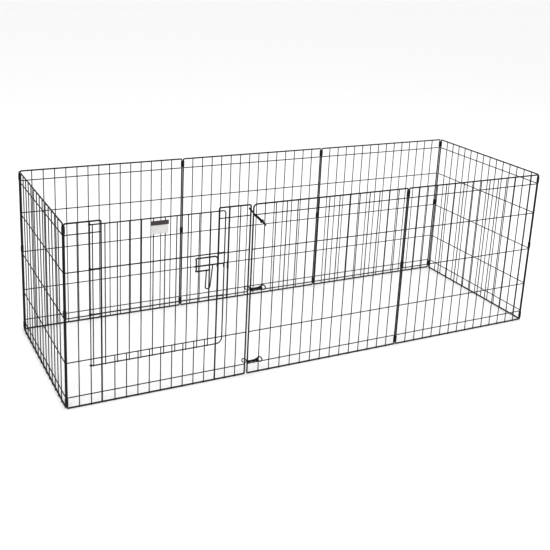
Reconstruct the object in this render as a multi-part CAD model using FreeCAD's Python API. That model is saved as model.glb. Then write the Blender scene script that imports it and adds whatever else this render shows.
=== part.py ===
import FreeCAD
import Part
import math
import os
from FreeCAD import Vector

os.makedirs("parts", exist_ok=True)

# ---------------------------------------------------------------------------
# Folding wire exercise pen: eight square panels set up as a rectangle, three
# panels long and one panel wide, open at the top. All sizes in millimetres.
# The front is the -Y side, +Z is up and the floor is z = 0.
# ---------------------------------------------------------------------------

# Panel
PANEL_W = 609.0          # between the axes of a panel's two edge wires
PANEL_H = 610.0          # overall height
EDGE_R = 2.25            # perimeter wire radius
BAR_R = 1.5              # horizontal wire radius
BAR_N = 0.75             # how far the horizontal wires sit outside the perimeter plane
UPRIGHT_R = 1.4          # vertical wire radius
UPRIGHT_N = 3.4          # vertical wires lie across the outside of the horizontal ones
WELD = 1.0               # how far a wire's end runs past the axis line it is welded on
CORNER_R = 5.0           # bend of the perimeter wire at its corners
FREE_CORNER_R = 13.0     # wider bend at the top corner of the closing panel
BAR_Z = (38.0, 157.0, 305.0, 453.0, 572.0)
GAPS = 15                # gaps between vertical wires in a plain panel
DOOR_PANEL_GAPS = 16     # the same in the panel with the doorway

# Hinge clips between panels
CLIP_SPACING = 6.0       # between the two edge wires a clip holds
CLIP_H = 22.0
CLIP_R = 3.4             # outside of the band where it goes round a wire
CLIP_WAIST = 2.6         # half its depth where it is pinched between the wires
CLIP_PLAY = 0.1
CLIP_SQUEEZE = 0.03      # how far a clip bites into the wire it grips
CLIP_Z = (11.0, 308.0, 577.0)

CLOSING_GAP = 10.0       # between the door panel and the closing panel

# Doorway and door
DOORWAY_FIRST = 3        # vertical wire at the doorway's left side
DOORWAY_LAST = 13        # and at its right side
DOORWAY_SPREAD = 2.65    # how far both sit outside the even spacing
HINGE_WIRE = 2           # vertical wire the door hangs on
KEEPER_WIRE = 14         # vertical wire that carries the latch keeper
DOOR_R = 1.75            # door frame and cross wire radius
DOOR_PLAY = 0.1
DOOR_LEFT_GAP = 6.6      # from the hinge wire to the door's first vertical wire
DOOR_PITCH = 38.2
DOOR_UPRIGHTS = 11
DOOR_RIGHT_U = 516.8
DOOR_TOP_Z = 599.0
DOOR_BOTTOM_Z = 137.0
DOOR_BAR_Z = (309.5, 457.5)
DOOR_TOP_CORNER_R = 8.0
DOOR_BOTTOM_CORNER_R = 20.0
DOOR_CURL = 250.0        # degrees the wire ends wrap round the hinge wire

# Latch
BOLT_R = 2.25
BOLT_PLAY = 0.3
BOLT_Z = 423.5
BOLT_U = (409.8, 512.3)
BOLT_TIP_Z = 410.0       # the bolt's right end is bent down to here
PULL_TOP_U = (450.8, 472.3)
PULL_BOTTOM_U = (447.8, 463.3)
PULL_Z = (344.0, 410.0)  # its bottom and its free end
LATCH_WIRE_R = 1.75      # pull and keeper
BRACKET_R = 2.25
BRACKET_U = (414.8, 488.8)
BRACKET_Z = (406.0, 450.0)
KEEPER_Z = (405.0, 431.0)
KEEPER_REACH = 15.6      # from the keeper wire's axis out to the bow
KEEPER_LEAN = 10.6       # how far the bow sits to the left of the keeper wire

# Label
LABEL_U = (263.3, 322.3)
LABEL_Z = (548.0, 577.0, 591.0)
LABEL_CARD_T = 0.8
LABEL_STRIP_T = 1.6

# Bolt snaps that close the gap between the first and the last panel
EYE_R = 8.5              # centre line of the eye ring
HOOK_R = 8.0             # centre line of the hook
HOOK_DROP = 7.8          # hook centre from the axis of the barrel
SNAP_WIRE_R = 1.5
BARREL_R = 4.2
BARREL_MOUTH_R = 4.6
BARREL_CAP_R = 5.2
BARREL_START = 10.3
BORE_R = 2.6
STEM_R = 1.6
PIN_R = 1.2
SNAP_PLAY = 0.1

# Layout. Each panel has its own frame: u runs to the right seen from outside,
# n points out of the pen and z is up.
CORNER_STEP = CLIP_SPACING / math.sqrt(2.0)
END_X = PANEL_W * 1.5 + CLIP_SPACING + CORNER_STEP
FRONT_STEP_X = CORNER_STEP - (CLOSING_GAP - CLIP_SPACING) / 2.0
FRONT_STEP_Y = math.sqrt(CLIP_SPACING ** 2 - FRONT_STEP_X ** 2)
HALF_DEPTH = (PANEL_W + CORNER_STEP + FRONT_STEP_Y) / 2.0
DOOR_N = UPRIGHT_N + UPRIGHT_R + DOOR_PLAY + DOOR_R
DOOR_UPRIGHT_N = DOOR_N + DOOR_R + UPRIGHT_R - 0.25
BOLT_N = DOOR_UPRIGHT_N + UPRIGHT_R + BOLT_PLAY + BOLT_R
PULL_N = BOLT_N + BOLT_R + LATCH_WIRE_R - 0.25
FRONT_REACH = max(UPRIGHT_N + KEEPER_REACH, PULL_N) + LATCH_WIRE_R
BACK_REACH = UPRIGHT_N + UPRIGHT_R
SHIFT_Y = (FRONT_REACH - BACK_REACH) / 2.0   # brings the overall box's centre to y = 0
FRONT_Y = -HALF_DEPTH + SHIFT_Y
BACK_Y = HALF_DEPTH + SHIFT_Y

# panel: (x of its left edge seen from outside, y of it, heading of u in degrees)
PANELS = {
    "door_panel": (-END_X + FRONT_STEP_X, FRONT_Y, 0.0),
    "left_end": (-END_X, BACK_Y - CORNER_STEP, 270.0),
    "back_left": (-PANEL_W / 2.0 - CLIP_SPACING, BACK_Y, 180.0),
    "back_middle": (PANEL_W / 2.0, BACK_Y, 180.0),
    "back_right": (PANEL_W * 1.5 + CLIP_SPACING, BACK_Y, 180.0),
    "right_end": (END_X, FRONT_Y + FRONT_STEP_Y, 90.0),
    "front_right": (END_X - FRONT_STEP_X - PANEL_W, FRONT_Y, 0.0),
    "closing_panel": (END_X - FRONT_STEP_X - PANEL_W * 2.0 - CLIP_SPACING, FRONT_Y, 0.0),
}

# pairs joined by clips, seen from outside: (panel on the left, panel on the right,
# the one whose edge wire the clips grip; the other panel's wire turns in them)
HINGES = (
    ("left_end", "door_panel", "left_end"),
    ("back_left", "left_end", "back_left"),
    ("back_middle", "back_left", "back_middle"),
    ("back_right", "back_middle", "back_middle"),
    ("right_end", "back_right", "back_right"),
    ("front_right", "right_end", "right_end"),
    ("closing_panel", "front_right", "front_right"),
)


def at(u, n, z):
    """Point in a panel's own frame."""
    return Vector(u, -n, z)


def joined(pieces):
    """Fuses pieces that meet into one solid."""
    whole = pieces[0].multiFuse(pieces[1:]).removeSplitter()
    assert len(whole.Solids) == 1
    return whole.Solids[0]


def rod(a, b, r):
    """Straight round wire from a to b."""
    run = b - a
    return Part.makeCylinder(r, run.Length, a, run)


def arc(start, centre, axis, degrees, r):
    """Round wire bent about an axis through centre, from start."""
    tangent = axis.cross(start - centre)
    disc = Part.Face(Part.Wire(Part.makeCircle(r, start, tangent)))
    return disc.revolve(centre, axis, degrees)


def wire_run(points, bends, r):
    """Pieces of a round wire through points, with a bend radius at each inner one."""
    pieces = []
    start = points[0]
    for i in range(1, len(points) - 1):
        before = Vector(points[i] - points[i - 1]).normalize()
        after = Vector(points[i + 1] - points[i]).normalize()
        turn = before.getAngle(after)
        cut = bends[i - 1] * math.tan(turn / 2.0)
        bend_start = points[i] - before * cut
        axis = before.cross(after).normalize()
        centre = bend_start + axis.cross(before) * bends[i - 1]
        pieces.append(rod(start, bend_start, r))
        pieces.append(arc(bend_start, centre, axis, math.degrees(turn), r))
        start = points[i] + after * cut
    pieces.append(rod(start, points[-1], r))
    return pieces


def save(name, solids, placement):
    """Places solids and writes them as one node."""
    placed = []
    for solid in solids:
        copy = solid.copy()
        copy.Placement = placement.multiply(copy.Placement)
        placed.append(copy)
    shape = placed[0] if len(placed) == 1 else Part.makeCompound(placed)
    shape.exportStep("parts/" + name + ".step")


def panel_placement(name):
    x, y, heading = PANELS[name]
    return FreeCAD.Placement(Vector(x, y, 0), FreeCAD.Rotation(Vector(0, 0, 1), heading))


# ---------------------------------------------------------------------------
# Plain panels
# ---------------------------------------------------------------------------

def perimeter(top_left_r):
    """Closed perimeter wire of a plain panel."""
    low = EDGE_R
    high = PANEL_H - EDGE_R
    middle = PANEL_W / 2.0
    points = [
        at(middle, 0, low),
        at(PANEL_W, 0, low),
        at(PANEL_W, 0, high),
        at(0, 0, high),
        at(0, 0, low),
        at(middle, 0, low),
    ]
    return joined(wire_run(points, (CORNER_R, CORNER_R, top_left_r, CORNER_R), EDGE_R))


def bar(u0, u1, z):
    """Horizontal wire between two uprights, welded into both."""
    return rod(at(u0 + WELD, BAR_N, z), at(u1 - WELD, BAR_N, z), BAR_R)


def upright(u, top):
    """Vertical wire from the bottom wire up to the wire at height top."""
    return rod(at(u, UPRIGHT_N, EDGE_R - WELD), at(u, UPRIGHT_N, top + WELD), UPRIGHT_R)


def build_plain_panel(name):
    placement = panel_placement(name)
    top_left_r = FREE_CORNER_R if name == "closing_panel" else CORNER_R
    pitch = PANEL_W / GAPS
    bars = [bar(0, PANEL_W, z) for z in BAR_Z]
    uprights = [upright(k * pitch, PANEL_H - EDGE_R) for k in range(1, GAPS)]
    save(name + "_frame", [perimeter(top_left_r)], placement)
    save(name + "_bars", bars, placement)
    save(name + "_uprights", uprights, placement)


# ---------------------------------------------------------------------------
# Panel with the doorway
# ---------------------------------------------------------------------------

DOOR_PANEL_PITCH = PANEL_W / DOOR_PANEL_GAPS
DOORWAY_U = (
    DOORWAY_FIRST * DOOR_PANEL_PITCH - DOORWAY_SPREAD,
    DOORWAY_LAST * DOOR_PANEL_PITCH + DOORWAY_SPREAD,
)
HINGE_U = HINGE_WIRE * DOOR_PANEL_PITCH
KEEPER_U = KEEPER_WIRE * DOOR_PANEL_PITCH
SILL_Z = BAR_Z[1]


def build_door_panel():
    placement = panel_placement("door_panel")
    low = EDGE_R
    high = PANEL_H - EDGE_R
    left, right = DOORWAY_U
    points = [
        at(left, 0, low),
        at(left, 0, high),
        at(0, 0, high),
        at(0, 0, low),
        at(PANEL_W, 0, low),
        at(PANEL_W, 0, high),
        at(right, 0, high),
        at(right, 0, low),
    ]
    frame = joined(wire_run(points, (CORNER_R,) * 6, EDGE_R))
    bars = [bar(0, PANEL_W, BAR_Z[0]), bar(0, PANEL_W, SILL_Z)]
    for z in BAR_Z[2:]:
        bars.append(bar(0, left, z))
        bars.append(bar(right, PANEL_W, z))
    uprights = []
    for k in range(1, DOOR_PANEL_GAPS):
        if k < DOORWAY_FIRST or k > DOORWAY_LAST:
            uprights.append(upright(k * DOOR_PANEL_PITCH, high))
        elif DOORWAY_FIRST < k < DOORWAY_LAST:
            uprights.append(upright(k * DOOR_PANEL_PITCH, SILL_Z))
    save("door_panel_frame", [frame], placement)
    save("door_panel_bars", bars, placement)
    save("door_panel_uprights", uprights, placement)


# ---------------------------------------------------------------------------
# Hinge clips: a sheet metal band pinched round both edge wires
# ---------------------------------------------------------------------------

def clip(z, grips_first):
    """Clip round a wire at the origin and another at u = CLIP_SPACING."""
    first = Part.makeCylinder(CLIP_R, CLIP_H, at(0, 0, z))
    second = Part.makeCylinder(CLIP_R, CLIP_H, at(CLIP_SPACING, 0, z))
    waist = Part.makeBox(CLIP_SPACING, CLIP_WAIST * 2.0, CLIP_H, at(0, CLIP_WAIST, z))
    body = joined([first, second, waist])
    for u, grips in ((0, grips_first), (CLIP_SPACING, not grips_first)):
        bore = EDGE_R - CLIP_SQUEEZE if grips else EDGE_R + CLIP_PLAY
        body = body.cut(Part.makeCylinder(bore, CLIP_H, at(u, 0, z)))
    return body.Solids[0]


def edge_point(name, right):
    """Axis of a panel's left or right edge wire on the floor."""
    u = PANEL_W if right else 0
    return panel_placement(name).multVec(at(u, 0, 0))


def build_clips():
    for left, right, gripped in HINGES:
        start = edge_point(left, True)
        end = edge_point(right, False)
        run = end - start
        heading = math.degrees(math.atan2(run.y, run.x))
        placement = FreeCAD.Placement(start, FreeCAD.Rotation(Vector(0, 0, 1), heading))
        solids = [clip(z, gripped == left) for z in CLIP_Z]
        save("clips_" + left + "_" + right, solids, placement)


# ---------------------------------------------------------------------------
# Door
# ---------------------------------------------------------------------------

DOOR_LEFT_U = HINGE_U + DOOR_LEFT_GAP


def curl(z):
    """Wire end wrapped round the hinge wire."""
    start = at(HINGE_U, DOOR_N, z)
    return arc(start, at(HINGE_U, UPRIGHT_N, z), Vector(0, 0, -1), DOOR_CURL, DOOR_R)


def door_frame():
    points = [
        at(HINGE_U, DOOR_N, DOOR_TOP_Z),
        at(DOOR_RIGHT_U, DOOR_N, DOOR_TOP_Z),
        at(DOOR_RIGHT_U, DOOR_N, DOOR_BOTTOM_Z),
        at(HINGE_U, DOOR_N, DOOR_BOTTOM_Z),
    ]
    pieces = wire_run(points, (DOOR_TOP_CORNER_R, DOOR_BOTTOM_CORNER_R), DOOR_R)
    return joined(pieces + [curl(DOOR_TOP_Z), curl(DOOR_BOTTOM_Z)])


def door_bar(z):
    straight = rod(at(HINGE_U, DOOR_N, z), at(DOOR_RIGHT_U - WELD, DOOR_N, z), DOOR_R)
    return joined([straight, curl(z)])


def door_upright(k):
    u = DOOR_LEFT_U + k * DOOR_PITCH
    low = at(u, DOOR_UPRIGHT_N, DOOR_BOTTOM_Z - WELD)
    high = at(u, DOOR_UPRIGHT_N, DOOR_TOP_Z + WELD)
    return rod(low, high, UPRIGHT_R)


def build_door():
    placement = panel_placement("door_panel")
    save("door_frame", [door_frame()], placement)
    save("door_bars", [door_bar(z) for z in DOOR_BAR_Z], placement)
    save("door_uprights", [door_upright(k) for k in range(DOOR_UPRIGHTS)], placement)


# ---------------------------------------------------------------------------
# Latch: bracket welded to the door, sliding bolt with a finger pull, and a
# keeper welded to the panel
# ---------------------------------------------------------------------------

def latch_bracket():
    """One bent wire: a frame whose left side and curled right end guide the bolt."""
    low_n = DOOR_UPRIGHT_N + UPRIGHT_R + BRACKET_R - 0.25
    high_n = BOLT_N + BOLT_R + BOLT_PLAY + BRACKET_R
    left, right = BRACKET_U
    bottom, top = BRACKET_Z
    under = BOLT_Z - BOLT_R - BOLT_PLAY - BRACKET_R - 2.3
    points = [
        at(left + 50.0, low_n, bottom),
        at(left, low_n, bottom),
        at(left, high_n, bottom + 7.0),
        at(left, high_n, top - 7.0),
        at(left, low_n, top),
        at(right, low_n, top),
        at(right, high_n, top - 10.0),
        at(right, high_n, under),
        at(right, low_n - 1.0, under),
    ]
    return joined(wire_run(points, (3.0, 3.0, 3.0, 3.0, 8.0, 3.0, 3.0), BRACKET_R))


def latch_bolt():
    """Bolt rod with its bent tip and the finger pull welded on its outer side."""
    run = [
        at(BOLT_U[0], BOLT_N, BOLT_Z),
        at(BOLT_U[1], BOLT_N, BOLT_Z),
        at(BOLT_U[1], BOLT_N, BOLT_TIP_Z),
    ]
    main = wire_run(run, (4.0,), BOLT_R)
    points = [
        at(PULL_TOP_U[0], PULL_N, PULL_Z[1]),
        at(PULL_BOTTOM_U[0], PULL_N, PULL_Z[0]),
        at(PULL_BOTTOM_U[1], PULL_N, PULL_Z[0]),
        at(PULL_TOP_U[1], PULL_N, BOLT_Z + 2.0),
    ]
    pull = wire_run(points, (7.2, 7.2), LATCH_WIRE_R)
    return joined(main + pull)


def latch_keeper():
    """Staple on the panel's wire that leans over the door's edge for the bolt's tip."""
    bow_u = KEEPER_U - KEEPER_LEAN
    bow_n = UPRIGHT_N + KEEPER_REACH
    points = [
        at(KEEPER_U, UPRIGHT_N + 1.0, KEEPER_Z[0]),
        at(bow_u, bow_n, KEEPER_Z[0]),
        at(bow_u, bow_n, KEEPER_Z[1]),
        at(KEEPER_U, UPRIGHT_N + 1.0, KEEPER_Z[1]),
    ]
    return joined(wire_run(points, (4.0, 4.0), LATCH_WIRE_R))


def build_latch():
    placement = panel_placement("door_panel")
    save("latch_bracket", [latch_bracket()], placement)
    save("latch_bolt", [latch_bolt()], placement)
    save("latch_keeper", [latch_keeper()], placement)


# ---------------------------------------------------------------------------
# Blank label clipped across two of the door's vertical wires
# ---------------------------------------------------------------------------

def build_label():
    placement = panel_placement("door_panel")
    face = DOOR_UPRIGHT_N + UPRIGHT_R - 0.1
    left, right = LABEL_U
    low, split, high = LABEL_Z
    width = right - left
    card_at = at(left + 1.0, face + LABEL_CARD_T, low)
    card = Part.makeBox(width - 2.0, LABEL_CARD_T, high - 3.0 - low, card_at)
    strip = Part.makeBox(width, LABEL_STRIP_T, high - split, at(left, face + LABEL_STRIP_T, split))
    strip = strip.cut(card)
    strip = strip.makeFillet(0.4, [e for e in strip.Edges if e.BoundBox.YMin < -face - 1.5])
    save("label_card", [card], placement)
    save("label_strip", [strip.Solids[0]], placement)


# ---------------------------------------------------------------------------
# Bolt snaps. In a snap's own frame x runs from the centre of the eye along the
# barrel to the hook, y points out of the pen and z completes the frame.
# ---------------------------------------------------------------------------

SNAPS = {
    # name: (eye u, n, z), (hook u, n, z), barrel length, eye tilt, hook tilt
    "snap_low": ((45.0, 4.1, 48.0), (-12.6, 8.1, 48.0), 35.2, 40.0, 30.0),
    "snap_mid": ((45.0, 4.1, 314.0), (-12.6, 8.1, 314.0), 35.2, 40.0, 30.0),
    "snap_top": ((38.2, 4.4, 540.0), (-12.5, 8.4, 588.0), 38.0, 15.0, 20.0),
}


def snap_placement(eye, hook):
    start = at(*eye)
    along = (at(*hook) - start).normalize()
    outward = Vector(0, -1, 0)
    up = along.cross(outward).normalize()
    turn = FreeCAD.Rotation(along, up.cross(along), up, "XYZ")
    local = FreeCAD.Placement(start, turn)
    return panel_placement("closing_panel").multiply(local)


def tilted(x, q, tilt):
    """Point at q from the barrel's axis in a plane tilted about it."""
    angle = math.radians(tilt)
    return Vector(x, q * math.cos(angle), -q * math.sin(angle))


def snap_eye(tilt):
    """Swivel eye with its stem and the head that is held inside the barrel."""
    normal = tilted(0, 1.0, tilt + 90.0)
    ring = Part.makeTorus(EYE_R, SNAP_WIRE_R, Vector(0, 0, 0), normal)
    stem = rod(Vector(EYE_R, 0, 0), Vector(14.4, 0, 0), STEM_R)
    head = rod(Vector(12.6, 0, 0), Vector(14.4, 0, 0), BORE_R - SNAP_PLAY)
    return joined([ring, stem, head])


def snap_body(length, barrel, tilt):
    """Cast barrel and hook, bored for the spring bolt and slotted for its knob."""
    mouth = BARREL_START + barrel
    cap = rod(Vector(BARREL_START, 0, 0), Vector(BARREL_START + 4.0, 0, 0), BARREL_CAP_R)
    tube = rod(Vector(BARREL_START, 0, 0), Vector(mouth, 0, 0), BARREL_R)
    rim = rod(Vector(mouth - 3.0, 0, 0), Vector(mouth, 0, 0), BARREL_MOUTH_R)
    neck_q = -PIN_R - 0.3 - SNAP_WIRE_R
    low = tilted(length - HOOK_R * math.cos(math.radians(30.0)), 0.5 * HOOK_R - HOOK_DROP, tilt)
    centre = tilted(length, -HOOK_DROP, tilt)
    axis = tilted(0, 1.0, tilt + 90.0)
    knee = tilted(mouth + 1.5, neck_q, tilt)
    neck = rod(tilted(mouth - 2.5, neck_q, tilt), knee, SNAP_WIRE_R)
    link = rod(knee, low, SNAP_WIRE_R)
    ball_a = Part.makeSphere(SNAP_WIRE_R, knee)
    ball_b = Part.makeSphere(SNAP_WIRE_R, low)
    bow = arc(low, centre, axis, -270.0, SNAP_WIRE_R)
    body = joined([tube, cap, rim, neck, ball_a, link, ball_b, bow])
    bore = rod(Vector(BARREL_START + 2.1, 0, 0), Vector(mouth - 2.0, 0, 0), BORE_R)
    stem_hole = rod(Vector(BARREL_START - 1.0, 0, 0), Vector(20.0, 0, 0), STEM_R + SNAP_PLAY)
    pin_hole = rod(Vector(mouth - 10.0, 0, 0), Vector(mouth + 1.0, 0, 0), PIN_R + SNAP_PLAY)
    slot = Part.makeBox(12.4, BARREL_R + 2.0, 2.6, Vector(mouth - 29.6, 0, -1.3))
    return body.cut(bore).cut(stem_hole).cut(pin_hole).cut(slot).Solids[0]


def snap_bolt(length, barrel):
    """Spring bolt: pin, piston and thumb knob."""
    mouth = BARREL_START + barrel
    pin = rod(Vector(mouth - 18.0, 0, 0), Vector(length + 2.0, 0, 0), PIN_R)
    piston = rod(Vector(mouth - 21.0, 0, 0), Vector(mouth - 16.5, 0, 0), BORE_R - SNAP_PLAY)
    knob_x = mouth - 18.7
    post = rod(Vector(knob_x, 0, 0), Vector(knob_x, 6.0, 0), 1.1)
    knob = rod(Vector(knob_x, 5.0, 0), Vector(knob_x, 8.0, 0), 2.6)
    knob = knob.makeFillet(0.8, knob.Edges)
    return joined([pin, piston, post, knob])


def build_snaps():
    for name, (eye, hook, barrel, eye_tilt, hook_tilt) in SNAPS.items():
        placement = snap_placement(eye, hook)
        length = (at(*hook) - at(*eye)).Length
        save(name + "_eye", [snap_eye(eye_tilt)], placement)
        save(name + "_body", [snap_body(length, barrel, hook_tilt)], placement)
        save(name + "_bolt", [snap_bolt(length, barrel)], placement)


for panel in PANELS:
    if panel != "door_panel":
        build_plain_panel(panel)
build_door_panel()
build_clips()
build_door()
build_latch()
build_label()
build_snaps()
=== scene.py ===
import math

import bmesh
import bpy
from mathutils import Matrix, Vector


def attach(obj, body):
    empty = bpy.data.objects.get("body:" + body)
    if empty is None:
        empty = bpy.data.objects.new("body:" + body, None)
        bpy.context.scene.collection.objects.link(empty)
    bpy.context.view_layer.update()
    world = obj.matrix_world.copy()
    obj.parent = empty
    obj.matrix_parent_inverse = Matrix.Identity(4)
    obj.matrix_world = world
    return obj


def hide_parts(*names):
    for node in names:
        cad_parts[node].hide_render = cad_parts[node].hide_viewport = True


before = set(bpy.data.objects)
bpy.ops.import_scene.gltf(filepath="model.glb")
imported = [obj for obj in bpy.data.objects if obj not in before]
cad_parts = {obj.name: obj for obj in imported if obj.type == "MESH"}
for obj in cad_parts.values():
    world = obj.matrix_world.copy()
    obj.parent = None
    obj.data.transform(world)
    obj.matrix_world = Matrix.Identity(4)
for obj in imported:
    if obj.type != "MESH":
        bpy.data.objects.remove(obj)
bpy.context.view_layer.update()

# ---------------------------------------------------------------------------
# Sizes in millimetres, as in the CAD model. u runs to the right along a panel
# seen from outside, n points out of the pen and z is up.
# ---------------------------------------------------------------------------
MM = 0.001

PANEL_W = 609.0
PANEL_H = 610.0
EDGE_R = 2.25
BAR_R = 1.5
BAR_N = 0.75
UPRIGHT_R = 1.4
UPRIGHT_N = 3.4
WELD = 1.0                # how far a wire's end runs past the line it is welded on
CORNER_R = 5.0
FREE_CORNER_R = 13.0
BAR_Z = (38.0, 157.0, 305.0, 453.0, 572.0)
GAPS = 15
DOOR_PANEL_GAPS = 16

CLIP_SPACING = 6.0
CLIP_H = 22.0
CLIP_R = 3.4
CLIP_WAIST = 2.6
CLIP_Z = (11.0, 308.0, 577.0)
CLOSING_GAP = 10.0

DOORWAY = (3, 13)
DOORWAY_SPREAD = 2.65
HINGE_WIRE = 2
KEEPER_WIRE = 14
DOOR_R = 1.75
DOOR_N = 6.65
DOOR_UPRIGHT_N = 9.55
DOOR_LEFT_GAP = 6.6
DOOR_PITCH = 38.2
DOOR_UPRIGHTS = 11
DOOR_RIGHT_U = 516.8
DOOR_TOP_Z = 599.0
DOOR_BOTTOM_Z = 137.0
DOOR_BAR_Z = (309.5, 457.5)
DOOR_CURL = 250.0
CURL_END = 2.0            # from the hinge wire to where a curl runs out straight

BOLT_R = 2.25
BOLT_PLAY = 0.3
BOLT_N = 13.5
BOLT_Z = 423.5
BOLT_U = (409.8, 512.3)
BOLT_TIP_Z = 410.0
PULL_TOP_U = (450.8, 472.3)
PULL_BOTTOM_U = (447.8, 463.3)
PULL_N = 17.25
PULL_Z = (344.0, 410.0)
LATCH_WIRE_R = 1.75
BRACKET_R = 2.25
BRACKET_FOOT = 50.0       # length of the bracket's lower wire
BRACKET_BENDS = (3.0, 3.0, 3.0, 3.0, 8.0, 3.0, 3.0)
BRACKET_U = (414.8, 488.8)
BRACKET_Z = (406.0, 450.0)
KEEPER_Z = (405.0, 431.0)
KEEPER_BOW_N = 19.0
KEEPER_LEAN = 10.6

LABEL_U = (263.3, 322.3)
LABEL_Z = (548.0, 577.0, 591.0)
CARD_T = 0.8
STRIP_T = 1.6
RIVET_IN = 5.0            # rivets from the ends of the strip

CORNER_STEP = CLIP_SPACING / math.sqrt(2.0)
END_X = PANEL_W * 1.5 + CLIP_SPACING + CORNER_STEP
FRONT_STEP_X = CORNER_STEP - (CLOSING_GAP - CLIP_SPACING) / 2.0
FRONT_STEP_Y = math.sqrt(CLIP_SPACING ** 2 - FRONT_STEP_X ** 2)
HALF_DEPTH = (PANEL_W + CORNER_STEP + FRONT_STEP_Y) / 2.0
SHIFT_Y = (KEEPER_BOW_N + LATCH_WIRE_R - UPRIGHT_N - UPRIGHT_R) / 2.0
FRONT_Y = -HALF_DEPTH + SHIFT_Y
BACK_Y = HALF_DEPTH + SHIFT_Y

PANELS = {
    "door_panel": (-END_X + FRONT_STEP_X, FRONT_Y, 0.0),
    "left_end": (-END_X, BACK_Y - CORNER_STEP, 270.0),
    "back_left": (-PANEL_W / 2.0 - CLIP_SPACING, BACK_Y, 180.0),
    "back_middle": (PANEL_W / 2.0, BACK_Y, 180.0),
    "back_right": (PANEL_W * 1.5 + CLIP_SPACING, BACK_Y, 180.0),
    "right_end": (END_X, FRONT_Y + FRONT_STEP_Y, 90.0),
    "front_right": (END_X - FRONT_STEP_X - PANEL_W, FRONT_Y, 0.0),
    "closing_panel": (END_X - FRONT_STEP_X - PANEL_W * 2.0 - CLIP_SPACING, FRONT_Y, 0.0),
}
# left panel, right panel, and the one the clips grip
HINGES = (
    ("left_end", "door_panel", "left_end"),
    ("back_left", "left_end", "back_left"),
    ("back_middle", "back_left", "back_middle"),
    ("back_right", "back_middle", "back_middle"),
    ("right_end", "back_right", "back_right"),
    ("front_right", "right_end", "right_end"),
    ("closing_panel", "front_right", "front_right"),
)
# eye, hook, barrel length, tilt of the eye, tilt of the hook
SNAPS = {
    "snap_low": ((45.0, 4.1, 48.0), (-12.6, 8.1, 48.0), 35.2, 40.0, 30.0),
    "snap_mid": ((45.0, 4.1, 314.0), (-12.6, 8.1, 314.0), 35.2, 40.0, 30.0),
    "snap_top": ((38.2, 4.4, 540.0), (-12.5, 8.4, 588.0), 38.0, 15.0, 20.0),
}
EYE_R = 8.5
HOOK_R = 8.0
HOOK_DROP = 7.8
SNAP_WIRE_R = 1.5
EYE_WIRE_R = 1.8
BARREL_START = 10.3
PIN_R = 1.2
BORE_R = 2.65
KNOB_BACK = 18.7          # thumb knob's post behind the barrel's mouth
KNOB_SLOT = (29.6, 17.2)  # ends of its slot behind the mouth
SLOT_HALF = 1.3

# Photographic setup
LENS = 57.52
LENS_SHIFT = -0.1545
CAMERA_AT = (-1.51785, -2.73808, 1.44659)
CAMERA_HEADING = -27.89
CAMERA_DIP = 16.13
CAMERA_ROLL = 2.855
ROOM_LIGHT = 1.05
LAMP_TARGET = (0, 0, 0.3)
LAMP_SIZE = 3.0
LAMPS = (
    ("key", (-2.2, -3.2, 3.6), 60.0),
    ("fill", (3.2, -1.6, 2.8), 30.0),
)
VIEW_GAMMA = 0.65


def at(u, n, z):
    """Point in a panel's own frame."""
    return Vector((u, -n, z))


def panel_matrix(name):
    x, y, heading = PANELS[name]
    return Matrix.Translation((x, y, 0.0)) @ Matrix.Rotation(math.radians(heading), 4, "Z")


# ---------------------------------------------------------------------------
# Materials
# ---------------------------------------------------------------------------

def node(tree, kind, **settings):
    made = tree.nodes.new(kind)
    for key, value in settings.items():
        setattr(made, key, value)
    return made


def noise(tree, place, scale, detail=3.0, roughness=0.5):
    made = node(tree, "ShaderNodeTexNoise")
    made.inputs["Scale"].default_value = scale
    made.inputs["Detail"].default_value = detail
    made.inputs["Roughness"].default_value = roughness
    tree.links.new(place, made.inputs["Vector"])
    return made.outputs["Fac"]


def ramp(tree, source, stops):
    made = node(tree, "ShaderNodeValToRGB")
    elements = made.color_ramp.elements
    while len(elements) < len(stops):
        elements.new(0.5)
    for element, (position, colour) in zip(elements, stops):
        element.position = position
        element.color = (*colour, 1.0)
    tree.links.new(source, made.inputs["Fac"])
    return made.outputs["Color"]


def map_range(tree, source, low, high, from_low=0.3, from_high=0.7):
    made = node(tree, "ShaderNodeMapRange")
    made.inputs["From Min"].default_value = from_low
    made.inputs["From Max"].default_value = from_high
    made.inputs["To Min"].default_value = low
    made.inputs["To Max"].default_value = high
    tree.links.new(source, made.inputs["Value"])
    return made.outputs["Result"]


def bump(tree, height, strength, distance, normal=None):
    made = node(tree, "ShaderNodeBump")
    made.inputs["Strength"].default_value = strength
    made.inputs["Distance"].default_value = distance
    tree.links.new(height, made.inputs["Height"])
    if normal is not None:
        tree.links.new(normal, made.inputs["Normal"])
    return made.outputs["Normal"]


def new_material(name):
    material = bpy.data.materials.new(name)
    material.use_nodes = True
    tree = material.node_tree
    shader = tree.nodes["Principled BSDF"]
    place = node(tree, "ShaderNodeTexCoord").outputs["Object"]
    return material, tree, shader, place


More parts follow.
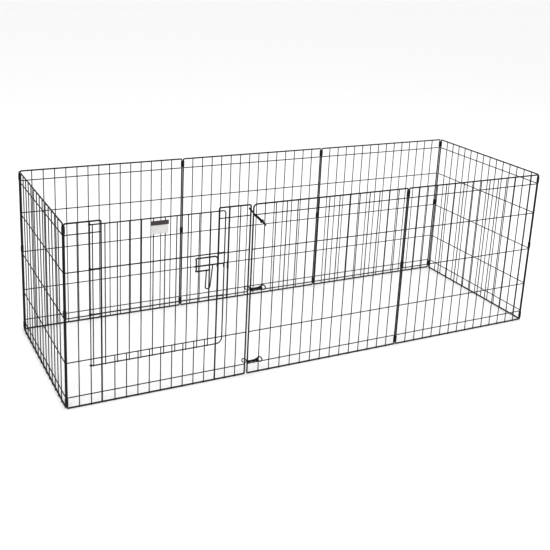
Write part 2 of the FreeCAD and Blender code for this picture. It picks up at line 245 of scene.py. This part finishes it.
def coated_metal(name, dark, light, rough, peel):
    """Black coating over metal: slow tone drift, orange peel and a few dull scuffs."""
    material, tree, shader, place = new_material(name)
    drift = noise(tree, place, 14.0, 4.0, 0.6)
    scuff = noise(tree, place, 160.0, 6.0, 0.7)
    tone = ramp(tree, drift, ((0.30, dark), (0.72, light)))
    dull = tuple(min(1.0, c * 2.2 + 0.010) for c in light)
    mask = map_range(tree, scuff, 0.0, 0.55, 0.60, 0.74)
    mix = node(tree, "ShaderNodeMix", data_type="RGBA")
    tree.links.new(mask, mix.inputs["Factor"])
    tree.links.new(tone, mix.inputs["A"])
    mix.inputs["B"].default_value = (*dull, 1.0)
    tree.links.new(mix.outputs["Result"], shader.inputs["Base Color"])
    patch = noise(tree, place, 55.0, 4.0, 0.6)
    tree.links.new(map_range(tree, patch, rough[0], rough[1]), shader.inputs["Roughness"])
    shader.inputs["Specular IOR Level"].default_value = 0.5
    fine = noise(tree, place, 1400.0, 2.0, 0.5)
    tree.links.new(bump(tree, fine, peel, 0.0001), shader.inputs["Normal"])
    return material


def cast_metal(name, dark, light, rough):
    """Black plated zinc casting with a slightly grainy skin."""
    material, tree, shader, place = new_material(name)
    drift = noise(tree, place, 90.0, 5.0, 0.65)
    tone = ramp(tree, drift, ((0.32, dark), (0.70, light)))
    tree.links.new(tone, shader.inputs["Base Color"])
    patch = noise(tree, place, 240.0, 4.0, 0.6)
    tree.links.new(map_range(tree, patch, rough[0], rough[1]), shader.inputs["Roughness"])
    shader.inputs["Metallic"].default_value = 0.35
    grain = noise(tree, place, 2600.0, 3.0, 0.6)
    pits = noise(tree, place, 700.0, 2.0, 0.5)
    rough_normal = bump(tree, grain, 0.18, 0.00008)
    tree.links.new(bump(tree, pits, 0.12, 0.00015, rough_normal), shader.inputs["Normal"])
    return material


def moulded(name, dark, light, rough, grain_scale, grain):
    """Matt plastic or card with a fine grain and a slow tone drift."""
    material, tree, shader, place = new_material(name)
    drift = noise(tree, place, 70.0, 5.0, 0.6)
    tone = ramp(tree, drift, ((0.30, dark), (0.70, light)))
    tree.links.new(tone, shader.inputs["Base Color"])
    patch = noise(tree, place, 180.0, 3.0, 0.5)
    tree.links.new(map_range(tree, patch, rough[0], rough[1]), shader.inputs["Roughness"])
    fine = noise(tree, place, grain_scale, 3.0, 0.6)
    tree.links.new(bump(tree, fine, grain, 0.0001), shader.inputs["Normal"])
    return material


WIRE = coated_metal(
    "wire_coat", (0.010, 0.010, 0.011), (0.024, 0.024, 0.026), (0.34, 0.50), 0.22)
CLIP = coated_metal(
    "clip_coat", (0.008, 0.008, 0.009), (0.020, 0.020, 0.022), (0.40, 0.56), 0.28)
LATCH = coated_metal(
    "latch_coat", (0.009, 0.009, 0.010), (0.022, 0.022, 0.024), (0.30, 0.46), 0.20)
CAST = cast_metal(
    "snap_cast", (0.010, 0.010, 0.011), (0.028, 0.028, 0.030), (0.30, 0.46))
SNAP_BOLT = cast_metal(
    "snap_bolt_metal", (0.014, 0.014, 0.015), (0.036, 0.036, 0.038), (0.26, 0.40))
STRIP = moulded(
    "label_strip_plastic", (0.082, 0.073, 0.072), (0.112, 0.101, 0.099), (0.45, 0.60),
    1500.0, 0.20)
CARD = moulded(
    "label_card_stock", (0.60, 0.588, 0.586), (0.66, 0.648, 0.645), (0.55, 0.70),
    2200.0, 0.15)
FLOOR = moulded(
    "floor_paper", (0.90, 0.90, 0.90), (0.92, 0.92, 0.92), (0.85, 0.90), 300.0, 0.02)


# ---------------------------------------------------------------------------
# Mesh building
# ---------------------------------------------------------------------------

def rounded(points, bends, steps=7):
    """Path through points with an arc of the given radius at each inner one."""
    path = [points[0]]
    for i in range(1, len(points) - 1):
        before = (points[i] - points[i - 1]).normalized()
        after = (points[i + 1] - points[i]).normalized()
        turn = before.angle(after)
        cut = bends[i - 1] * math.tan(turn / 2.0)
        start = points[i] - before * cut
        axis = before.cross(after).normalized()
        centre = start + axis.cross(before) * bends[i - 1]
        for k in range(steps + 1):
            spin = Matrix.Rotation(turn * k / steps, 3, axis)
            path.append(centre + spin @ (start - centre))
    path.append(points[-1])
    return path


def arc_path(start, centre, axis, degrees, steps):
    """Points from start round an axis through centre."""
    path = []
    for k in range(steps + 1):
        spin = Matrix.Rotation(math.radians(degrees) * k / steps, 3, axis)
        path.append(centre + spin @ (start - centre))
    return path


def tube(bm, path, radius, sides=12, closed=False, chamfer=0.35, radii=None):
    """Round wire along path, with chamfered ends unless it is closed."""
    clean = [path[0]]
    for point in path[1:]:
        if (point - clean[-1]).length > 1e-4:
            clean.append(point)
    if closed and (clean[0] - clean[-1]).length < 1e-4:
        clean.pop()
    sizes = [radius] * len(clean) if radii is None else list(radii)
    count = len(clean)
    tangents = []
    for i in range(count):
        if closed:
            ahead, behind = clean[(i + 1) % count], clean[i - 1]
        else:
            ahead, behind = clean[min(i + 1, count - 1)], clean[max(i - 1, 0)]
        tangents.append((ahead - behind).normalized())
    if not closed:
        clean = [clean[0]] + clean + [clean[-1]]
        clean[1] = clean[0] + tangents[0] * chamfer
        clean[-2] = clean[-1] - tangents[-1] * chamfer
        tangents = [tangents[0]] + tangents + [tangents[-1]]
        sizes = [sizes[0] - chamfer] + sizes + [sizes[-1] - chamfer]
    side = tangents[0].orthogonal().normalized()
    rings = []
    for i, point in enumerate(clean):
        if i:
            side = tangents[i - 1].rotation_difference(tangents[i]) @ side
        side = (side - tangents[i] * side.dot(tangents[i])).normalized()
        up = tangents[i].cross(side)
        ring = []
        for k in range(sides):
            angle = 2.0 * math.pi * k / sides
            offset = side * math.cos(angle) + up * math.sin(angle)
            ring.append(bm.verts.new(point + offset * sizes[i]))
        rings.append(ring)
    pairs = list(zip(rings, rings[1:]))
    if closed:
        pairs.append((rings[-1], rings[0]))
    for a, b in pairs:
        for k in range(sides):
            j = (k + 1) % sides
            bm.faces.new((a[k], a[j], b[j], b[k]))
    if not closed:
        bm.faces.new(list(reversed(rings[0])))
        bm.faces.new(rings[-1])


def weld(bm, place, size):
    """Small nugget of squeezed metal where two wires are welded."""
    matrix = Matrix.Translation(place) @ Matrix.Diagonal((*size, 1.0))
    bmesh.ops.create_icosphere(bm, subdivisions=2, radius=1.0, matrix=matrix)


def lathe(bm, profile, sides=24, matrix=None):
    """Turned solid about the x axis from (x, radius) points, closed at both ends."""
    first = len(bm.verts)
    rings = []
    for x, radius in profile:
        ring = []
        for k in range(sides):
            angle = 2.0 * math.pi * k / sides
            ring.append(bm.verts.new((x, radius * math.cos(angle), radius * math.sin(angle))))
        rings.append(ring)
    for a, b in zip(rings, rings[1:]):
        for k in range(sides):
            j = (k + 1) % sides
            bm.faces.new((a[j], a[k], b[k], b[j]))
    bm.faces.new(rings[0])
    bm.faces.new(list(reversed(rings[-1])))
    if matrix is not None:
        bm.verts.ensure_lookup_table()
        bmesh.ops.transform(bm, matrix=matrix, verts=bm.verts[first:])


def to_object(name, bm, matrix, material, sharp=38.0):
    """Turns a mesh in millimetres in a local frame into an object in metres."""
    bmesh.ops.recalc_face_normals(bm, faces=bm.faces)
    bmesh.ops.transform(bm, matrix=Matrix.Scale(MM, 4) @ matrix, verts=bm.verts)
    mesh = bpy.data.meshes.new(name)
    bm.to_mesh(mesh)
    bm.free()
    mesh.materials.append(material)
    mesh.shade_smooth()
    mesh.set_sharp_from_angle(angle=math.radians(sharp))
    made = bpy.data.objects.new(name, mesh)
    bpy.context.scene.collection.objects.link(made)
    return made


def finish_piece(made, body, cad_node):
    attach(made, body)
    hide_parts(cad_node)


# ---------------------------------------------------------------------------
# Panels
# ---------------------------------------------------------------------------

def upright_path(u, top):
    return [at(u, UPRIGHT_N, EDGE_R - WELD), at(u, UPRIGHT_N, top + WELD)]


def weld_crossing(bm, u, z):
    """Nugget between a vertical wire and a horizontal one."""
    weld(bm, at(u, 2.2, z), (2.15, 0.95, 2.05))


def weld_edge(bm, u, z):
    """Nugget between a vertical wire and the perimeter wire."""
    weld(bm, at(u, 2.0, z), (2.3, 1.1, 2.4))


def weld_bar_end(bm, u, z, inward):
    """Nugget where a horizontal wire runs into an upright of the perimeter."""
    weld(bm, at(u + inward * 2.4, BAR_N, z), (1.7, 1.95, 1.95))


def add_bar(bm, u0, u1, z):
    tube(bm, [at(u0 + WELD, BAR_N, z), at(u1 - WELD, BAR_N, z)], BAR_R)
    weld_bar_end(bm, u0, z, 1.0)
    weld_bar_end(bm, u1, z, -1.0)


def plain_panel(name):
    matrix = panel_matrix(name)
    low, high, middle = EDGE_R, PANEL_H - EDGE_R, PANEL_W / 2.0
    corner = FREE_CORNER_R if name == "closing_panel" else CORNER_R
    points = [
        at(middle, 0, low),
        at(PANEL_W, 0, low),
        at(PANEL_W, 0, high),
        at(0, 0, high),
        at(0, 0, low),
        at(middle, 0, low),
    ]
    bm = bmesh.new()
    tube(bm, rounded(points, (CORNER_R, CORNER_R, corner, CORNER_R)), EDGE_R, 16, closed=True)
    weld(bm, at(middle, 0, low), (1.6, EDGE_R * 1.07, EDGE_R * 1.07))
    rim = to_object(name + "_perimeter_wire", bm, matrix, WIRE)
    finish_piece(rim, name, name + "_frame")
    bm = bmesh.new()
    for z in BAR_Z:
        add_bar(bm, 0, PANEL_W, z)
    bars = to_object(name + "_cross_wires", bm, matrix, WIRE)
    finish_piece(bars, name, name + "_bars")
    bm = bmesh.new()
    pitch = PANEL_W / GAPS
    for k in range(1, GAPS):
        tube(bm, upright_path(k * pitch, high), UPRIGHT_R)
        for z in BAR_Z:
            weld_crossing(bm, k * pitch, z)
        weld_edge(bm, k * pitch, low)
        weld_edge(bm, k * pitch, high)
    uprights = to_object(name + "_upright_wires", bm, matrix, WIRE)
    finish_piece(uprights, name, name + "_uprights")


DOOR_PANEL_PITCH = PANEL_W / DOOR_PANEL_GAPS
DOORWAY_U = (
    DOORWAY[0] * DOOR_PANEL_PITCH - DOORWAY_SPREAD,
    DOORWAY[1] * DOOR_PANEL_PITCH + DOORWAY_SPREAD,
)
HINGE_U = HINGE_WIRE * DOOR_PANEL_PITCH
KEEPER_U = KEEPER_WIRE * DOOR_PANEL_PITCH
SILL_Z = BAR_Z[1]


def door_panel():
    name = "door_panel"
    matrix = panel_matrix(name)
    low, high = EDGE_R, PANEL_H - EDGE_R
    left, right = DOORWAY_U
    points = [
        at(left, 0, low),
        at(left, 0, high),
        at(0, 0, high),
        at(0, 0, low),
        at(PANEL_W, 0, low),
        at(PANEL_W, 0, high),
        at(right, 0, high),
        at(right, 0, low),
    ]
    bm = bmesh.new()
    tube(bm, rounded(points, (CORNER_R,) * 6), EDGE_R, 16, chamfer=0.2)
    for u in DOORWAY_U:
        weld(bm, at(u, 0, low + 2.2), (3.0, 2.6, 1.5))
        weld(bm, at(u, 1.2, SILL_Z), (2.7, 1.5, 2.2))
        weld(bm, at(u, 1.2, BAR_Z[0]), (2.7, 1.5, 2.2))
    rim = to_object(name + "_perimeter_wire", bm, matrix, WIRE)
    finish_piece(rim, name, name + "_frame")
    bm = bmesh.new()
    add_bar(bm, 0, PANEL_W, BAR_Z[0])
    add_bar(bm, 0, PANEL_W, SILL_Z)
    for z in BAR_Z[2:]:
        add_bar(bm, 0, left, z)
        add_bar(bm, right, PANEL_W, z)
    bars = to_object(name + "_cross_wires", bm, matrix, WIRE)
    finish_piece(bars, name, name + "_bars")
    bm = bmesh.new()
    for k in range(1, DOOR_PANEL_GAPS):
        if k in DOORWAY:
            continue
        u = k * DOOR_PANEL_PITCH
        short = DOORWAY[0] < k < DOORWAY[1]
        tube(bm, upright_path(u, SILL_Z if short else high), UPRIGHT_R)
        weld_edge(bm, u, low)
        for z in BAR_Z[:2] if short else BAR_Z:
            weld_crossing(bm, u, z)
        if not short:
            weld_edge(bm, u, high)
    uprights = to_object(name + "_upright_wires", bm, matrix, WIRE)
    finish_piece(uprights, name, name + "_uprights")


# ---------------------------------------------------------------------------
# Hinge clips: a sheet band pinched round both edge wires
# ---------------------------------------------------------------------------

def clip_outline(ease):
    """Closed outline, in (u, n), of the band, drawn in by ease."""
    radius = CLIP_R - ease
    waist = CLIP_WAIST - ease
    start = math.asin(waist / radius)
    outline = []
    for centre, side, turn in ((0.0, 1.0, 0.0), (CLIP_SPACING, -1.0, math.pi)):
        for k in range(25):
            angle = turn + start + (2.0 * math.pi - 2.0 * start) * k / 24.0
            outline.append((centre + radius * math.cos(angle), radius * math.sin(angle)))
        outline.append((CLIP_SPACING / 2.0, side * -(waist - 0.35)))
    return outline


def add_clip(bm, z):
    rings = []
    for level, ease in ((z, 0.3), (z + 0.3, 0.0), (z + CLIP_H - 0.3, 0.0), (z + CLIP_H, 0.3)):
        rings.append([bm.verts.new(at(u, n, level)) for u, n in clip_outline(ease)])
    count = len(rings[0])
    for a, b in zip(rings, rings[1:]):
        for k in range(count):
            j = (k + 1) % count
            bm.faces.new((a[k], a[j], b[j], b[k]))
    bm.faces.new(rings[0])
    bm.faces.new(rings[-1])


def clips():
    for left, right, gripped in HINGES:
        start = panel_matrix(left) @ at(PANEL_W, 0, 0)
        end = panel_matrix(right) @ at(0, 0, 0)
        run = end - start
        turn = Matrix.Rotation(math.atan2(run.y, run.x), 4, "Z")
        bm = bmesh.new()
        for z in CLIP_Z:
            add_clip(bm, z)
        name = "clips_" + left + "_" + right
        made = to_object(name + "_band", bm, Matrix.Translation(start) @ turn, CLIP, 50.0)
        finish_piece(made, gripped, name)


# ---------------------------------------------------------------------------
# Door, latch and label
# ---------------------------------------------------------------------------

DOOR_LEFT_U = HINGE_U + DOOR_LEFT_GAP


def curl_path(z):
    """Wire end wrapped round the hinge wire, from its tip to the straight run."""
    start, centre = at(HINGE_U, DOOR_N, z), at(HINGE_U, UPRIGHT_N, z)
    return list(reversed(arc_path(start, centre, Vector((0, 0, -1)), DOOR_CURL, 18)))


def door():
    matrix = panel_matrix("door_panel")
    points = [
        at(HINGE_U + CURL_END, DOOR_N, DOOR_TOP_Z),
        at(DOOR_RIGHT_U, DOOR_N, DOOR_TOP_Z),
        at(DOOR_RIGHT_U, DOOR_N, DOOR_BOTTOM_Z),
        at(HINGE_U + CURL_END, DOOR_N, DOOR_BOTTOM_Z),
    ]
    bm = bmesh.new()
    straight = rounded(points, (8.0, 20.0), 9)
    last_curl = list(reversed(curl_path(DOOR_BOTTOM_Z)))
    tube(bm, curl_path(DOOR_TOP_Z) + straight + last_curl, DOOR_R)
    for z in DOOR_BAR_Z:
        weld(bm, at(DOOR_RIGHT_U - 2.2, DOOR_N, z), (1.6, 2.1, 2.2))
    rim = to_object("door_frame_wire", bm, matrix, WIRE)
    finish_piece(rim, "door", "door_frame")
    bm = bmesh.new()
    for z in DOOR_BAR_Z:
        straight = [at(HINGE_U + CURL_END, DOOR_N, z), at(DOOR_RIGHT_U - WELD, DOOR_N, z)]
        tube(bm, curl_path(z) + straight, DOOR_R)
    bars = to_object("door_cross_wires", bm, matrix, WIRE)
    finish_piece(bars, "door", "door_bars")
    bm = bmesh.new()
    for k in range(DOOR_UPRIGHTS):
        u = DOOR_LEFT_U + k * DOOR_PITCH
        ends = [at(u, DOOR_UPRIGHT_N, z) for z in (DOOR_BOTTOM_Z - WELD, DOOR_TOP_Z + WELD)]
        tube(bm, ends, UPRIGHT_R)
        for z in (DOOR_BOTTOM_Z, *DOOR_BAR_Z, DOOR_TOP_Z):
            weld(bm, at(u, DOOR_N + DOOR_R - 0.1, z), (2.2, 1.0, 2.2))
    uprights = to_object("door_upright_wires", bm, matrix, WIRE)
    finish_piece(uprights, "door", "door_uprights")


def latch():
    matrix = panel_matrix("door_panel")
    low_n = DOOR_UPRIGHT_N + UPRIGHT_R + BRACKET_R - 0.25
    high_n = BOLT_N + BOLT_R + BOLT_PLAY + BRACKET_R
    left, right = BRACKET_U
    bottom, top = BRACKET_Z
    under = BOLT_Z - BOLT_R - BOLT_PLAY - BRACKET_R - 2.3
    points = [
        at(left + BRACKET_FOOT, low_n, bottom),
        at(left, low_n, bottom),
        at(left, high_n, bottom + 7.0),
        at(left, high_n, top - 7.0),
        at(left, low_n, top),
        at(right, low_n, top),
        at(right, high_n, top - 10.0),
        at(right, high_n, under),
        at(right, low_n - 1.0, under),
    ]
    bm = bmesh.new()
    tube(bm, rounded(points, BRACKET_BENDS), BRACKET_R)
    for k, z in ((9, bottom), (9, top), (10, top)):
        u = DOOR_LEFT_U + k * DOOR_PITCH
        weld(bm, at(u, DOOR_UPRIGHT_N + UPRIGHT_R, z), (2.1, 1.0, 2.1))
    bracket = to_object("latch_bracket_wire", bm, matrix, LATCH)
    finish_piece(bracket, "door", "latch_bracket")
    bm = bmesh.new()
    rod = [
        at(BOLT_U[0], BOLT_N, BOLT_Z),
        at(BOLT_U[1], BOLT_N, BOLT_Z),
        at(BOLT_U[1], BOLT_N, BOLT_TIP_Z),
    ]
    tube(bm, rounded(rod, (4.0,), 9), BOLT_R, 18, chamfer=0.6)
    points = [
        at(PULL_TOP_U[0], PULL_N, PULL_Z[1]),
        at(PULL_BOTTOM_U[0], PULL_N, PULL_Z[0]),
        at(PULL_BOTTOM_U[1], PULL_N, PULL_Z[0]),
        at(PULL_TOP_U[1], PULL_N, BOLT_Z + 2.0),
    ]
    tube(bm, rounded(points, (7.4, 7.4), 10), LATCH_WIRE_R, 14)
    weld(bm, at(PULL_TOP_U[1], BOLT_N + BOLT_R - 0.1, BOLT_Z), (2.3, 1.0, 2.2))
    bolt = to_object("latch_bolt_and_pull", bm, matrix, LATCH)
    finish_piece(bolt, "latch_bolt", "latch_bolt")
    bow_u = KEEPER_U - KEEPER_LEAN
    points = [
        at(KEEPER_U, UPRIGHT_N + 1.0, KEEPER_Z[0]),
        at(bow_u, KEEPER_BOW_N, KEEPER_Z[0]),
        at(bow_u, KEEPER_BOW_N, KEEPER_Z[1]),
        at(KEEPER_U, UPRIGHT_N + 1.0, KEEPER_Z[1]),
    ]
    bm = bmesh.new()
    tube(bm, rounded(points, (4.0, 4.0)), LATCH_WIRE_R, 14)
    for z in KEEPER_Z:
        weld(bm, at(KEEPER_U, UPRIGHT_N + UPRIGHT_R + 0.1, z), (2.1, 0.9, 2.2))
    keeper = to_object("latch_keeper_staple", bm, matrix, LATCH)
    finish_piece(keeper, "door_panel", "latch_keeper")


def sheet(bm, u0, u1, z0, z1, n_back, n_front, corner, rolls=6):
    """Flat plate with rounded corners and a slightly eased edge."""
    outline = []
    for cu, cz, start in (
        (u1 - corner, z1 - corner, 0),
        (u0 + corner, z1 - corner, 90),
        (u0 + corner, z0 + corner, 180),
        (u1 - corner, z0 + corner, 270),
    ):
        for k in range(rolls + 1):
            angle = math.radians(start + 90.0 * k / rolls)
            outline.append((cu + corner * math.cos(angle), cz + corner * math.sin(angle)))
    middle_u, middle_z = (u0 + u1) / 2.0, (z0 + z1) / 2.0
    ease = min(0.25, (n_front - n_back) / 3.0)
    rings = []
    layers = ((n_back, ease), (n_back + ease, 0.0), (n_front - ease, 0.0), (n_front, ease))
    for n, shrink in layers:
        ring = []
        for u, z in outline:
            du, dz = u - middle_u, z - middle_z
            size = math.hypot(du, dz)
            ring.append(bm.verts.new(at(u - du / size * shrink, n, z - dz / size * shrink)))
        rings.append(ring)
    count = len(outline)
    for a, b in zip(rings, rings[1:]):
        for k in range(count):
            j = (k + 1) % count
            bm.faces.new((a[k], a[j], b[j], b[k]))
    bm.faces.new(rings[0])
    bm.faces.new(rings[-1])


def label():
    matrix = panel_matrix("door_panel")
    face = DOOR_UPRIGHT_N + UPRIGHT_R - 0.1
    left, right = LABEL_U
    low, split, high = LABEL_Z
    bm = bmesh.new()
    sheet(bm, left + 1.0, right - 1.0, low, high - 3.0, face, face + CARD_T, 2.5)
    card = to_object("label_card_blank", bm, matrix, CARD)
    finish_piece(card, "door", "label_card")
    bm = bmesh.new()
    sheet(bm, left, right, split, high, face + CARD_T, face + STRIP_T, 1.5)
    outward = Matrix.Rotation(-math.pi / 2.0, 4, "Z")
    for u in (left + RIVET_IN, right - RIVET_IN):
        spot = Matrix.Translation(at(u, face + 1.5, (split + high) / 2.0))
        lathe(bm, ((-0.3, 1.6), (0.2, 1.5), (0.42, 1.1), (0.5, 0.3)), 20, spot @ outward)
    strip = to_object("label_strip_clip", bm, matrix, STRIP)
    finish_piece(strip, "door", "label_strip")


# ---------------------------------------------------------------------------
# Bolt snaps
# ---------------------------------------------------------------------------

def snap_matrix(eye, hook):
    start = at(*eye)
    along = (at(*hook) - start).normalized()
    outward = Vector((0, -1, 0))
    up = along.cross(outward).normalized()
    side = up.cross(along)
    turn = Matrix((along, side, up)).transposed().to_4x4()
    return panel_matrix("closing_panel") @ Matrix.Translation(start) @ turn


def tilted(x, q, tilt):
    """Point at q from the barrel's axis in a plane tilted about it."""
    angle = math.radians(tilt)
    return Vector((x, q * math.cos(angle), -q * math.sin(angle)))


def snap_eye(name, matrix, tilt):
    normal = tilted(0, 1.0, tilt + 90.0)
    bm = bmesh.new()
    ring = arc_path(Vector((EYE_R, 0, 0)), Vector((0, 0, 0)), normal, 360.0, 40)
    tube(bm, ring, EYE_WIRE_R, 14, closed=True)
    stem = (
        (EYE_R - 0.6, 1.9), (EYE_R + 0.6, 2.3), (EYE_R + 1.5, 2.1), (EYE_R + 1.75, 1.55),
        (12.5, 1.55), (12.6, 2.3), (14.2, 2.4), (14.4, 2.2),
    )
    lathe(bm, stem, 20)
    made = to_object(name + "_swivel_eye", bm, matrix, CAST)
    finish_piece(made, name + "_eye", name + "_eye")


def knob_slot_cutter(name, mouth):
    """Round-ended block as long as the thumb knob's slot."""
    slot_from, slot_to = mouth - KNOB_SLOT[0], mouth - KNOB_SLOT[1]
    outline = []
    for end, start in ((slot_to - SLOT_HALF, 90.0), (slot_from + SLOT_HALF, 270.0)):
        for k in range(9):
            angle = math.radians(start - 180.0 * k / 8.0)
            outline.append((end + SLOT_HALF * math.cos(angle), SLOT_HALF * math.sin(angle)))
    bm = bmesh.new()
    lows = [bm.verts.new((x, 1.0, z)) for x, z in outline]
    highs = [bm.verts.new((x, 7.0, z)) for x, z in outline]
    for k in range(len(outline)):
        j = (k + 1) % len(outline)
        bm.faces.new((lows[k], lows[j], highs[j], highs[k]))
    bm.faces.new(lows)
    bm.faces.new(highs)
    return to_object(name + "_slot_cutter", bm, Matrix.Identity(4), CAST)


def slotted_barrel(name, mouth):
    """Hollow turned barrel, in millimetres, with the slot cut through its wall."""
    start = BARREL_START
    profile = (
        (start, 5.0), (start + 0.5, 6.1), (start + 1.0, 6.5), (start + 3.0, 6.5),
        (start + 3.6, 6.1), (start + 4.2, 4.3), (start + 5.0, 3.8), (mouth - 9.0, 3.7),
        (mouth - 4.2, 3.8), (mouth - 3.2, 4.4), (mouth - 2.6, 4.55), (mouth - 0.6, 4.55),
        (mouth - 0.2, 4.3), (mouth, 3.7), (mouth, 1.35), (mouth - 2.0, 1.35),
        (mouth - 2.1, BORE_R), (start + 2.1, BORE_R), (start + 2.0, 1.7), (start, 1.7),
    )
    bm = bmesh.new()
    sides = 32
    rings = []
    for x, radius in profile:
        ring = []
        for k in range(sides):
            angle = 2.0 * math.pi * k / sides
            ring.append(bm.verts.new((x, radius * math.cos(angle), radius * math.sin(angle))))
        rings.append(ring)
    for a, b in zip(rings, rings[1:] + rings[:1]):
        for k in range(sides):
            j = (k + 1) % sides
            bm.faces.new((a[j], a[k], b[k], b[j]))
    shell = to_object(name + "_shell", bm, Matrix.Identity(4), CAST)
    cutter = knob_slot_cutter(name, mouth)
    cut = shell.modifiers.new("slot", "BOOLEAN")
    cut.operation = "DIFFERENCE"
    cut.solver = "EXACT"
    cut.object = cutter
    bpy.context.view_layer.update()
    evaluated = shell.evaluated_get(bpy.context.evaluated_depsgraph_get())
    slotted = bpy.data.meshes.new_from_object(evaluated)
    bpy.data.objects.remove(shell)
    bpy.data.objects.remove(cutter)
    bm = bmesh.new()
    bm.from_mesh(slotted)
    bmesh.ops.transform(bm, matrix=Matrix.Scale(1.0 / MM, 4), verts=bm.verts)
    return bm


def snap_body(name, matrix, length, barrel, tilt):
    mouth = BARREL_START + barrel
    bm = slotted_barrel(name, mouth)
    neck_q = -PIN_R - 0.3 - SNAP_WIRE_R
    low = tilted(length - HOOK_R * math.cos(math.radians(30.0)), 0.5 * HOOK_R - HOOK_DROP, tilt)
    centre = tilted(length, -HOOK_DROP, tilt)
    axis = tilted(0, 1.0, tilt + 90.0)
    bow = arc_path(low, centre, axis, -270.0, 34)
    neck = [tilted(mouth - 2.2, neck_q, tilt), tilted(mouth + 1.5, neck_q, tilt)]
    path = neck + bow
    count = len(path)
    radii = []
    for i in range(count):
        past = max(0.0, (i / (count - 1) - 0.9) / 0.1)
        radii.append(SNAP_WIRE_R - 0.35 * past)
    tube(bm, path, SNAP_WIRE_R, 16, chamfer=0.3, radii=radii)
    weld(bm, tilted(mouth - 0.6, neck_q, tilt), (1.6, 1.9, 1.9))
    made = to_object(name + "_barrel_and_hook", bm, matrix, CAST)
    finish_piece(made, name + "_body", name + "_body")


def snap_bolt(name, matrix, length, barrel):
    mouth = BARREL_START + barrel
    bm = bmesh.new()
    tip = length + 2.0
    piston_and_pin = (
        (mouth - 21.0, 2.3), (mouth - 20.7, 2.5), (mouth - 16.8, 2.5), (mouth - 16.5, 2.3),
        (mouth - 16.4, PIN_R), (tip - 0.9, PIN_R), (tip - 0.4, PIN_R * 0.86),
        (tip - 0.1, PIN_R * 0.55), (tip, 0.2),
    )
    lathe(bm, piston_and_pin, 20)
    knob = (
        (0.5, 1.1), (5.0, 1.1), (5.1, 2.0), (5.5, 2.5), (5.9, 2.6), (6.3, 2.45),
        (6.7, 2.6), (7.1, 2.45), (7.5, 2.5), (7.8, 2.1), (8.0, 1.2), (8.02, 0.3),
    )
    post = Matrix.Translation((mouth - KNOB_BACK, 0, 0))
    lathe(bm, knob, 20, post @ Matrix.Rotation(math.pi / 2.0, 4, "Z"))
    made = to_object(name + "_thumb_bolt", bm, matrix, SNAP_BOLT)
    finish_piece(made, name + "_bolt", name + "_bolt")


def snaps():
    for name, (eye, hook, barrel, eye_tilt, hook_tilt) in SNAPS.items():
        matrix = snap_matrix(eye, hook)
        length = (at(*hook) - at(*eye)).length
        snap_eye(name, matrix, eye_tilt)
        snap_body(name, matrix, length, barrel, hook_tilt)
        snap_bolt(name, matrix, length, barrel)


# ---------------------------------------------------------------------------
# Floor, light and camera
# ---------------------------------------------------------------------------

def studio():
    bm = bmesh.new()
    bmesh.ops.create_grid(bm, x_segments=8, y_segments=8, size=40000.0)
    floor = to_object("floor", bm, Matrix.Identity(4), FLOOR)
    world = bpy.data.worlds.new("studio")
    bpy.context.scene.world = world
    world.use_nodes = True
    background = world.node_tree.nodes["Background"]
    background.inputs["Color"].default_value = (1.0, 1.0, 1.0, 1.0)
    background.inputs["Strength"].default_value = ROOM_LIGHT
    for name, place, power in LAMPS:
        data = bpy.data.lights.new(name, "AREA")
        data.shape = "DISK"
        data.size = LAMP_SIZE
        data.energy = power
        lamp = bpy.data.objects.new(name, data)
        lamp.location = place
        aim = Vector(LAMP_TARGET) - Vector(place)
        lamp.rotation_euler = aim.to_track_quat("-Z", "Y").to_euler()
        bpy.context.scene.collection.objects.link(lamp)


def camera():
    data = bpy.data.cameras.new("camera")
    data.sensor_width = 36.0
    data.lens = LENS
    data.shift_y = LENS_SHIFT
    data.clip_end = 100.0
    made = bpy.data.objects.new("camera", data)
    turn = Matrix.Rotation(math.radians(CAMERA_HEADING), 4, "Z")
    tip = Matrix.Rotation(math.radians(90.0 - CAMERA_DIP), 4, "X")
    roll = Matrix.Rotation(math.radians(CAMERA_ROLL), 4, "Z")
    made.matrix_world = Matrix.Translation(CAMERA_AT) @ turn @ tip @ roll
    bpy.context.scene.collection.objects.link(made)
    bpy.context.scene.camera = made


for panel in PANELS:
    if panel != "door_panel":
        plain_panel(panel)
door_panel()
clips()
door()
latch()
label()
snaps()
studio()
camera()
bpy.context.scene.view_settings.view_transform = "Standard"
bpy.context.scene.view_settings.gamma = VIEW_GAMMA
